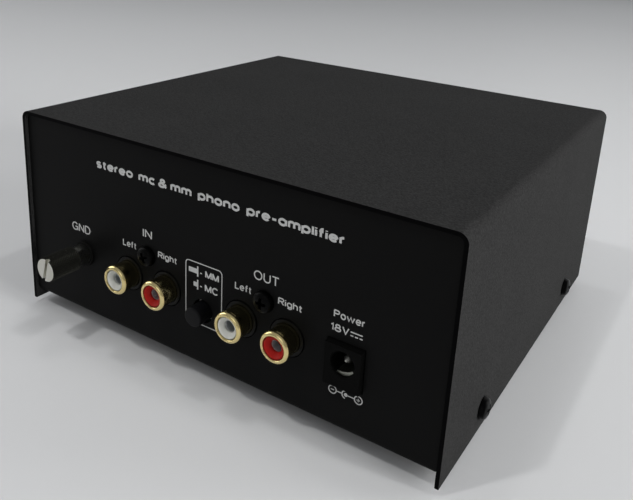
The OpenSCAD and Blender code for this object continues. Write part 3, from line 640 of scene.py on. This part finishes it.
def inletPin():  # a domed centre pin with its stem and tail
    bm = bmesh.new()
    radius, front, back = inlet["pin"]
    stem, stemEnd = inlet["stem"]
    long = back - front
    outline = rounded([(0, 0), (0.3, 0.02, 0.1), (radius, 0.85, 0.7), (radius, long, 0.1), (stem, long),
                       (stem, stemEnd - front), (0, stemEnd - front)], 8)
    addTurned(bm, outline, alongY(inlet["x"], front, inlet["z"]), 64)
    addTail(bm, inlet["x"], **inlet["pinTail"])
    newPiece("inletPin", bm, pinShadedNickel, stands="inlet_pin", slot="nickel_plate", smooth=50)


def inletLeaf():  # a tongue pressed round the bore's lower side, with a thick turned-up lip
    bm = bmesh.new()
    x, z = inlet["x"], inlet["z"]
    radius, thick, front = inlet["leaf"]
    outer = circle(x, z, radius, *inlet["leafSpread"], 72)
    rows = []
    for along, share in inlet["lipFade"]:
        inner = []
        for k, (a, b) in enumerate(outer):
            rise = thick + inlet["lip"] * share * math.sin(math.pi * k / (len(outer) - 1))
            grow = 1 - rise / radius
            inner.append((x + (a - x) * grow, z + (b - z) * grow))
        rows.append([(a, front + along, b) for a, b in outer + inner[::-1]])
    addSkin(bm, rows)
    addTail(bm, x, **inlet["leafTail"])
    newPiece("inletLeaf", bm, leafShadedTin, stands="inlet_spring", slot="tin_plate")


inletPin()
inletLeaf()

coil = {"front": -53.8, "height": 21.0, "radius": 2.5, "wire": 0.2, "turns": 3.5, "steps": 40,
        "long": 4.0, "ease": 0.02, "left": 0.37}


def modeSpring():  # the button's return coil, pressed against the switch body
    bm = bmesh.new()
    rows = []
    radius, wire, ease = (coil[k] for k in ("radius", "wire", "ease"))
    count = round(coil["turns"] * coil["steps"])
    for i in range(count + 1):
        turn = 2 * math.pi * coil["turns"] * i / count
        along = wire + ease + (coil["long"] - 2 * (wire + ease)) * i / count
        row = []
        for a, b in circle(0, 0, wire, steps=12):
            row.append(((radius + a) * math.cos(turn), (radius + a) * math.sin(turn), along + b))
        rows.append(row)
    addSkin(bm, rows, alongY(0, coil["front"], coil["height"]))
    piece = newPiece("modeSpring", bm, springSteel, stands="mode_spring", slot="spring_steel", smooth=60)
    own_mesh(piece)


modeSpring()
print("switch and inlet made")


# ground thumbscrew: a knurled barrel with a slotted face, a neck and a thread

# neck: radius and length; thread: radius, depth, pitch and length; slot: width, depth and turn
thumb = {"place": (-44.8, -70.0, 24.0), "radius": 3.6, "long": 9.7, "edge": 0.3, "neck": (2.95, 3.5),
         "thread": (2.0, 0.38, 0.7, 9.0), "diamonds": 28, "diamondLong": 0.85, "groove": 0.36,
         "slot": (1.0, 0.9, 16)}


def thumbScrew():
    bm = bmesh.new()
    columns = 2 * thumb["diamonds"]
    rowCount = 2 * round(thumb["long"] / thumb["diamondLong"]) - 1
    radius, groove, long, edge = (thumb[k] for k in ("radius", "groove", "long", "edge"))
    neck, neckLong = thumb["neck"]

    def ring(r, z, knurled=None):
        row = []
        for k in range(columns):
            angle = 2 * math.pi * k / columns
            here = r if knurled is None or (k + knurled) % 2 else r - groove
            row.append((here * math.cos(angle), here * math.sin(angle), z))
        return row

    rows = [ring(radius - edge, 0), ring(radius - 0.12, 0.08, 0)]
    for i in range(rowCount + 1):
        rows.append(ring(radius, edge + (long - 2 * edge) * i / rowCount, i))
    rows += [ring(radius - 0.45, long - 0.08), ring(radius - 0.6, long), ring(neck + 0.15, long),
             ring(neck, long + 0.15), ring(neck, long + neckLong)]
    addSkin(bm, rows)
    for face in list(bm.faces):  # each diamond's side is cut along its valley
        if len(face.verts) == 4:
            a, b, c, d = face.verts
            reachA, reachB = (Vector(corner.co[:2]).length for corner in (a, b))
            if abs(reachA - reachB) > 0.05:
                valley = (a, c) if reachA < reachB else (b, d)
                bmesh.utils.face_split(face, *valley)
    width, deep, slotTurn = thumb["slot"]
    cutter = bmesh.new()
    addBlock(cutter, (-width / 2, -5, -1), (width / 2, 5, deep))
    cutter.transform(Matrix.Rotation(math.radians(slotTurn), 4, "Z"))
    bm = carved(bm, cutter)
    threadRadius, threadDeep, pitch, threadLong = thumb["thread"]
    start = long + neckLong
    addThread(bm, threadRadius, threadDeep, pitch, start - 0.2, start + threadLong, 32, 6)
    bm.transform(alongY(*thumb["place"]))
    x, y, z = thumb["place"]
    for face in bm.faces:  # the turned face and its slot are bright nickel; the barrel, neck and thread take darker copies of it, painted shade
        spot = face.calc_center_median()
        reach = math.hypot(spot.x - x, spot.z - z)
        inSlot = spot.y < y + deep + 0.01 and reach < radius - groove - 0.15
        face.material_index = 0 if spot.y < y + 0.02 or inSlot else 2 if spot.y > y + long - 0.01 else 1
    newPiece("groundThumbscrew", bm, [nickel, knurlShade, neckShadedNickel], body="thumbscrew",
             stands="ground_thumbscrew", slot="nickel_plate", smooth=24)


thumbScrew()
softened("groundWasher", "ground_washer", washerBlack, 0.12, 2, body="clamp_washer", slot="washer_black")
softened("groundNut", "ground_nut", nickel, 0.2, 2, slot="nickel_plate")
print("ground terminal made")


# feet, fasteners and circuit board

softened("rubberFeet", "rubber_feet", rubber, 0.4, 3, slot="foot_rubber")
footScrew = {"long": 5.8, "xs": (-50, 50), "ys": (-37, 50), "z": 2.6}
setScrews("footScrewSet", "foot_screws", zinc, footScrew["long"], [
    Matrix.Translation((x, y, footScrew["z"])) @ Matrix.Rotation(math.pi, 4, "X")
    for x in footScrew["xs"] for y in footScrew["ys"]], "zinc_steel")
softened("footNuts", "foot_nuts", zinc, 0.25, 2, slot="zinc_steel")
softened("boardStandoffs", "board_standoffs", nickel, 0.2, 2, slot="nickel_plate")
boardScrew = {"long": 5.6, "xs": (-54.25, 54.25), "ys": (-49.2, 59), "z": 17.0}
setScrews("boardScrewSet", "board_screws", zinc, boardScrew["long"], [
    Matrix.Translation((x, y, boardScrew["z"]))
    for x in boardScrew["xs"] for y in boardScrew["ys"]], "zinc_steel")

# where a part's body ends and its bright legs begin, and the colour bands along a resistor
parts = {"rowX": 24, "half": 3.22, "boardTop": 17.0, "chipLegs": 17.45, "resistorLegs": 17.05,
         "smallCan": 28.0, "supplyCan": 38.0, "tab": (51.05, 20.95), "lamp": (64.4, 20.5),
         "lacquer": ((0.24, 0.36, 0.46), (0.20, 0.31, 0.41)), "band": 0.2,
         "bands": ((-2.3, (0.30, 0.12, 0.02)), (-1.2, (0.01, 0.01, 0.01)), (-0.3, (0.01, 0.01, 0.01)),
                   (0.6, (0.45, 0.02, 0.01)), (2.3, (0.30, 0.14, 0.03)))}
board = {"green": ((0.010, 0.075, 0.030), (0.014, 0.095, 0.040)), "track": (0.05, 0.17, 0.08),
         "roughness": (0.3, 0.15), "raised": 0.03,
         "pattern": {"offset": 0.42, "squash": 0.6, "squash_frequency": 3},
         "bricks": {"Scale": 0.16, "Mortar Size": 0.035, "Mortar Smooth": 0.1, "Brick Width": 0.7,
                    "Row Height": 0.28}}


def maskPaint():  # green solder mask with raised tracks
    paint = Paint("solderMask", specularIorLevel=0.45)
    sockets = {"Vector": paint.place(), **board["bricks"]}
    tracks = paint.node("TexBrick", board["pattern"], sockets, "Fac")
    cloud = paint.noise(0.3)
    least, more = board["roughness"]
    paint.feed("baseColor", paint.mix(tracks, paint.mix(cloud, *board["green"]), board["track"]))
    paint.feed("roughness", least + cloud * more)
    paint.feed("normal", paint.bump(tracks, board["raised"]))
    return paint


def bandPaint():  # a resistor's lacquer with its colour bands
    paint = Paint("resistorLacquer", specularIorLevel=0.5)
    along = paint.node("Math", {"operation": "ABSOLUTE"}, {0: paint.axis("X")}) - parts["rowX"]
    fine = paint.noise(1.2)
    shade = paint.mix(fine, *parts["lacquer"])
    for centre, tint in parts["bands"]:
        shade = paint.mix(paint.near(along, centre, parts["band"]), shade, tint)
    paint.feed("baseColor", shade)
    paint.feed("roughness", 0.28 + fine * 0.1)
    paint.feed("normal", paint.bump(fine, 0.01, 0.4))
    return paint


solderMask = maskPaint()
lacquer = bandPaint()
chipBlack = plasticPaint("chipEpoxy", (0.012, 0.012, 0.013), 0.55, 0.02, 0.35)
filmRed = plasticPaint("filmCapacitorBox", (0.42, 0.03, 0.02), 0.35, 0.006, 0.4)
sleeveBlue = plasticPaint("canSleeveBlue", (0.014, 0.020, 0.085), 0.32, 0.004, 0.45)
sleeveBlack = plasticPaint("canSleeveBlack", (0.010, 0.010, 0.013), 0.32, 0.004, 0.45)
canTop = metalPaint("canTop", (0.72, 0.73, 0.74), 0.34, 0.08)
lampLens = plasticPaint("lampLens", (0.10, 0.20, 0.62), 0.12, 0.002, 0.5, 0.05)


def inRow(legs):  # the body, or the legs below and beside it
    def pick(spot):
        beside = abs(abs(spot.x) - parts["rowX"]) > parts["half"]
        return int(beside or spot.z < legs)

    return pick


def onCan(top):  # the sleeve, the bare top or a leg
    return lambda spot: 2 if spot.z < parts["boardTop"] + 0.01 else int(spot.z > top - 0.05)


def beyond(y, z):  # a regulator's metal parts
    return lambda spot: int(spot.y > y or spot.z < z)


softened("circuitBoard", "circuit_board", solderMask, 0.06, 1, slot="board_green")
softened("amplifierChips", "amplifier_chips", [chipBlack, tin], 0.12, 2, slot="chip_black",
         paintOf=inRow(parts["chipLegs"]))
softened("filmCapacitors", "film_capacitors", [filmRed, tin], 0.3, 2, slot="film_red",
         paintOf=lambda spot: int(spot.z < parts["boardTop"] - 0.01))
softened("smallCans", "small_electrolytics", [sleeveBlue, canTop, tin], 0.12, 2, slot="can_sleeve_blue",
         paintOf=onCan(parts["smallCan"]))
softened("supplyCans", "supply_electrolytics", [sleeveBlack, canTop, tin], 0.2, 2,
         slot="can_sleeve_black", paintOf=onCan(parts["supplyCan"]))
softened("resistorSet", "resistors", [lacquer, tin], 0.12, 2, slot="resistor_body",
         paintOf=inRow(parts["resistorLegs"]))
softened("regulators", "voltage_regulators", [chipBlack, tin], 0.15, 2, slot="regulator_black",
         paintOf=beyond(*parts["tab"]))
softened("powerLamp", "power_led", [lampLens, tin], 0.12, 3, slot="led_lens",
         paintOf=lambda spot: int(spot.y < parts["lamp"][0] or spot.z < parts["lamp"][1]))
print("board and feet dressed")


# panel print, a thin film of ink

printed = {"y": -56.0, "film": 0.03, "lap": 0.006}  # crossing strokes lie a lap over each other


def laidOnPanel(name, bm):
    mesh = meshOf(name, bm)
    mesh.transform(Matrix.Translation((0, printed["y"], 0)) @ Matrix.Rotation(math.pi / 2, 4, "X"))
    mesh.transform(Matrix.Scale(mm, 4))
    dressed(name, mesh, ink)


def bend(x, z, across, high, start, end):  # a stretch of an ellipse, in degrees
    low, top = sorted((start, end))
    points = [(x + across * a, z + high * b) for a, b in circle(0, 0, 1, low, top, 28)]
    return points if end > start else points[::-1]


def letterShapes():  # each letter's strokes on a cap height of 1, with an x-height of 0.72
    bowl = bend(0.27, 0.36, 0.27, 0.36, 0, 359)
    arch = bend(0.24, 0.46, 0.24, 0.26, 180, 0)
    stem = [(0, 0), (0, 0.72)]
    tall = [(0, 0), (0, 1)]
    head = [(0, 1), (0.37, 1)] + bend(0.37, 0.745, 0.27, 0.255, 90, -90) + [(0, 0.49)]
    return {
        "G": [bend(0.39, 0.5, 0.39, 0.5, 40, 340), [(0.44, 0.46), (0.77, 0.46), (0.77, 0.0)]],
        "N": [tall, [(0, 1), (0.66, 0)], [(0.66, 0), (0.66, 1)]],
        "D": [tall, [(0, 1), (0.28, 1)] + bend(0.28, 0.5, 0.4, 0.5, 90, -90) + [(0, 0)]],
        "I": [tall],
        "O": [bend(0.4, 0.5, 0.4, 0.5, 0, 359)],
        "U": [[(0, 1), (0, 0.34)] + bend(0.32, 0.34, 0.32, 0.34, 180, 360) + [(0.64, 1)]],
        "T": [[(0, 1), (0.66, 1)], [(0.33, 1), (0.33, 0)]],
        "L": [[(0, 1), (0, 0), (0.5, 0)]],
        "R": [tall, head, [(0.34, 0.49), (0.64, 0)]],
        "P": [tall, head],
        "M": [tall, [(0, 1), (0.38, 0)], [(0.38, 0), (0.76, 1)], [(0.76, 1), (0.76, 0)]],
        "C": [bend(0.38, 0.5, 0.38, 0.5, 42, 318)],
        "V": [[(0, 1), (0.33, 0), (0.66, 1)]],
        "1": [[(0, 0.8), (0.13, 0.86), (0.2, 1), (0.2, 0)]],
        "8": [bend(0.31, 0.765, 0.23, 0.235, 0, 359), bend(0.31, 0.265, 0.31, 0.265, 0, 359)],
        "a": [bowl, [(0.54, 0.72), (0.54, 0)]],
        "c": [bend(0.27, 0.36, 0.27, 0.36, 45, 315)],
        "e": [bend(0.27, 0.36, 0.27, 0.36, 0, 318), [(0.02, 0.37), (0.54, 0.37)]],
        "f": [[(0.12, 0), (0.12, 0.84)] + bend(0.27, 0.84, 0.15, 0.16, 180, 80), [(0, 0.7), (0.3, 0.7)]],
        "g": [bowl, [(0.54, 0.72), (0.54, -0.04)] + bend(0.28, -0.04, 0.26, 0.2, 360, 205)],
        "h": [tall, arch + [(0.48, 0)]],
        "i": [stem, [(0, 0.88), (0, 1)]],
        "l": [tall],
        "m": [stem, bend(0.2, 0.5, 0.2, 0.22, 180, 0) + [(0.4, 0)],
              bend(0.6, 0.5, 0.2, 0.22, 180, 0) + [(0.8, 0)]],
        "n": [stem, arch + [(0.48, 0)]],
        "o": [bowl],
        "p": [[(0, -0.26), (0, 0.72)], bowl],
        "r": [stem, bend(0.24, 0.46, 0.24, 0.26, 180, 90)],
        "s": [bend(0.23, 0.53, 0.2, 0.19, 35, 270), bend(0.23, 0.17, 0.22, 0.17, 90, -150)],
        "t": [[(0.12, 0.94), (0.12, 0.14)] + bend(0.25, 0.14, 0.13, 0.14, 180, 280),
              [(0, 0.7), (0.3, 0.7)]],
        "w": [[(0, 0.72), (0.23, 0), (0.46, 0.72), (0.69, 0), (0.92, 0.72)]],
        "&": [[(0.7, 0), (0.18, 0.68)] + bend(0.34, 0.8, 0.17, 0.2, 205, -40),
              [(0.47, 0.67), (0.14, 0.42)] + bend(0.26, 0.23, 0.26, 0.23, 130, 330) + [(0.68, 0.44)]],
        "-": [[(0, 0.36), (0.32, 0.36)]],
        " ": [],
    }


letters = letterShapes()


# a ribbon along points, mitred at its corners
def inkLine(bm, points, width, closed=False, film=printed["film"]):
    spots = [Vector(p) for p in points]
    count = len(spots)
    sides = []
    for i, here in enumerate(spots):
        before = spots[i - 1] if closed or i else here
        after = spots[(i + 1) % count] if closed or i < count - 1 else here
        turns = [step.normalized() for step in (here - before, after - here) if step.length > 1e-6]
        away = sum(turns, Vector((0, 0))).normalized()
        normal = Vector((-away.y, away.x)) * width / 2 / max(0.7, away.dot(turns[0]))
        sides.append((here + normal, here - normal))
    loop = sides + sides[:1] if closed else sides
    for (a, b), (c, d) in zip(loop, loop[1:]):
        addPlate(bm, (b, d, c, a), film)


def addPlate(bm, outline, film=printed["film"]):
    addSkin(bm, [[(p[0], p[1], z) for p in outline] for z in (0, film)])


def addBar(bm, left, low, right, high):
    addPlate(bm, ((left, low), (right, low), (right, high), (left, high)))


# the frame and the button's two heights in it, the direct current sign, and the plug's poles
marks = {"frame": (-5.78, 16.87, 6.3, 34.4, 1.1), "frameInk": 0.26,
         "caps": ((-4.75, 31.25, -1.95, 32.6), (-3.1, 27.5, -1.95, 28.75)),
         "flanges": ((-1.95, 30.5, -1.5, 33.4), (-1.95, 26.75, -1.5, 29.55)),
         "dashes": ((-0.9, 31.6, -0.3, 31.9), (-0.9, 27.83, -0.3, 28.13)),
         "direct": (43.65, 46.75, 31.56), "directDashes": (43.65, 44.82, 46.0),
         "directDash": (0.75, 30.66), "directInk": 0.3}
poles = {"z": 14.8, "minus": 40.0, "middle": 43.6, "plus": 46.93, "radius": 1.02, "sign": 0.45,
         "dot": 0.47, "open": (100, 260), "links": ((41.1, 42.5), (44.0, 45.8)),
         "ringInk": 0.26, "linkInk": 0.24, "signInk": 0.22}


def markings():
    bm = bmesh.new()
    left, low, right, top, fillet = marks["frame"]
    corners = [(left, low, fillet), (right, low, fillet), (right, top, fillet), (left, top, fillet)]
    inkLine(bm, rounded(corners, 8), marks["frameInk"], True)
    for bars in zip(marks["caps"], marks["flanges"]):
        for bar in bars:
            addBar(bm, *bar)
    for bar in marks["dashes"]:
        addBar(bm, *bar)
    left, right, z = marks["direct"]
    inkLine(bm, [(left, z), (right, z)], marks["directInk"])
    dash, z = marks["directDash"]
    for left in marks["directDashes"]:
        inkLine(bm, [(left, z), (left + dash, z)], marks["directInk"])
    z, radius, sign, plus = (poles[k] for k in ("z", "radius", "sign", "plus"))
    for x in (poles["minus"], plus):
        inkLine(bm, circle(x, z, radius), poles["ringInk"], True)
        inkLine(bm, [(x - sign, z), (x + sign, z)], poles["signInk"])
    inkLine(bm, [(plus, z - sign), (plus, z + sign)], poles["signInk"])
    inkLine(bm, circle(poles["middle"], z, radius, *poles["open"]), poles["ringInk"])
    addPlate(bm, circle(poles["middle"], z, poles["dot"], steps=20))
    for start, end in poles["links"]:
        inkLine(bm, [(start, z), (end, z)], poles["linkInk"])
    laidOnPanel("panelMarkings", bm)


markings()

# each word: its text, left and right ends, base line, cap height and stroke width
words = {"gap": 0.24, "lines": {
    "labelGround": ("GND", -49.9, -42.2, 30.25, 2.6, 0.36),
    "labelIn": ("IN", -21.2, -17.85, 36.1, 2.5, 0.36),
    "labelOut": ("OUT", 16.2, 23.7, 35.9, 2.5, 0.32),
    "labelInLeft": ("Left", -28.95, -23.75, 31.4, 1.95, 0.31),
    "labelInRight": ("Right", -15.7, -8.9, 31.6, 1.9, 0.31),
    "labelOutLeft": ("Left", 10.45, 15.65, 31.3, 1.95, 0.31),
    "labelOutRight": ("Right", 23.6, 30.5, 31.55, 1.9, 0.31),
    "labelMagnet": ("MM", 0.8, 5.3, 30.95, 2.1, 0.4),
    "labelCoil": ("MC", 0.72, 5.05, 27.05, 2.1, 0.39),
    "labelPower": ("Power", 39.0, 47.1, 33.8, 1.95, 0.32),
    "labelVolts": ("18V", 38.4, 43.3, 30.3, 1.95, 0.33),
    "labelTitle": ("stereo  mc & mm  phono  pre-amplifier", -38.6, 40.6, 51.9, 2.55, 0.6),
}}


def word(name, text, left, right, base, cap, weight):
    strokes = []
    pen = 0.0
    for letter in text:
        shapes = letters[letter]
        strokes += [[(a + pen, b) for a, b in stroke] for stroke in shapes]
        pen += max((a for stroke in shapes for a, b in stroke), default=0.02) + words["gap"]
    stretch = (right - left - weight) / (pen - words["gap"])
    rise = cap - weight
    bm = bmesh.new()
    for index, stroke in enumerate(strokes):
        line = [(left + weight / 2 + a * stretch, base + weight / 2 + b * rise) for a, b in stroke]
        inkLine(bm, line, weight, film=printed["film"] + printed["lap"] * (index % 4))
    laidOnPanel(name, bm)


for labelName, line in words["lines"].items():
    word(labelName, *line)
print("panel printed")


bpy.context.view_layer.update()
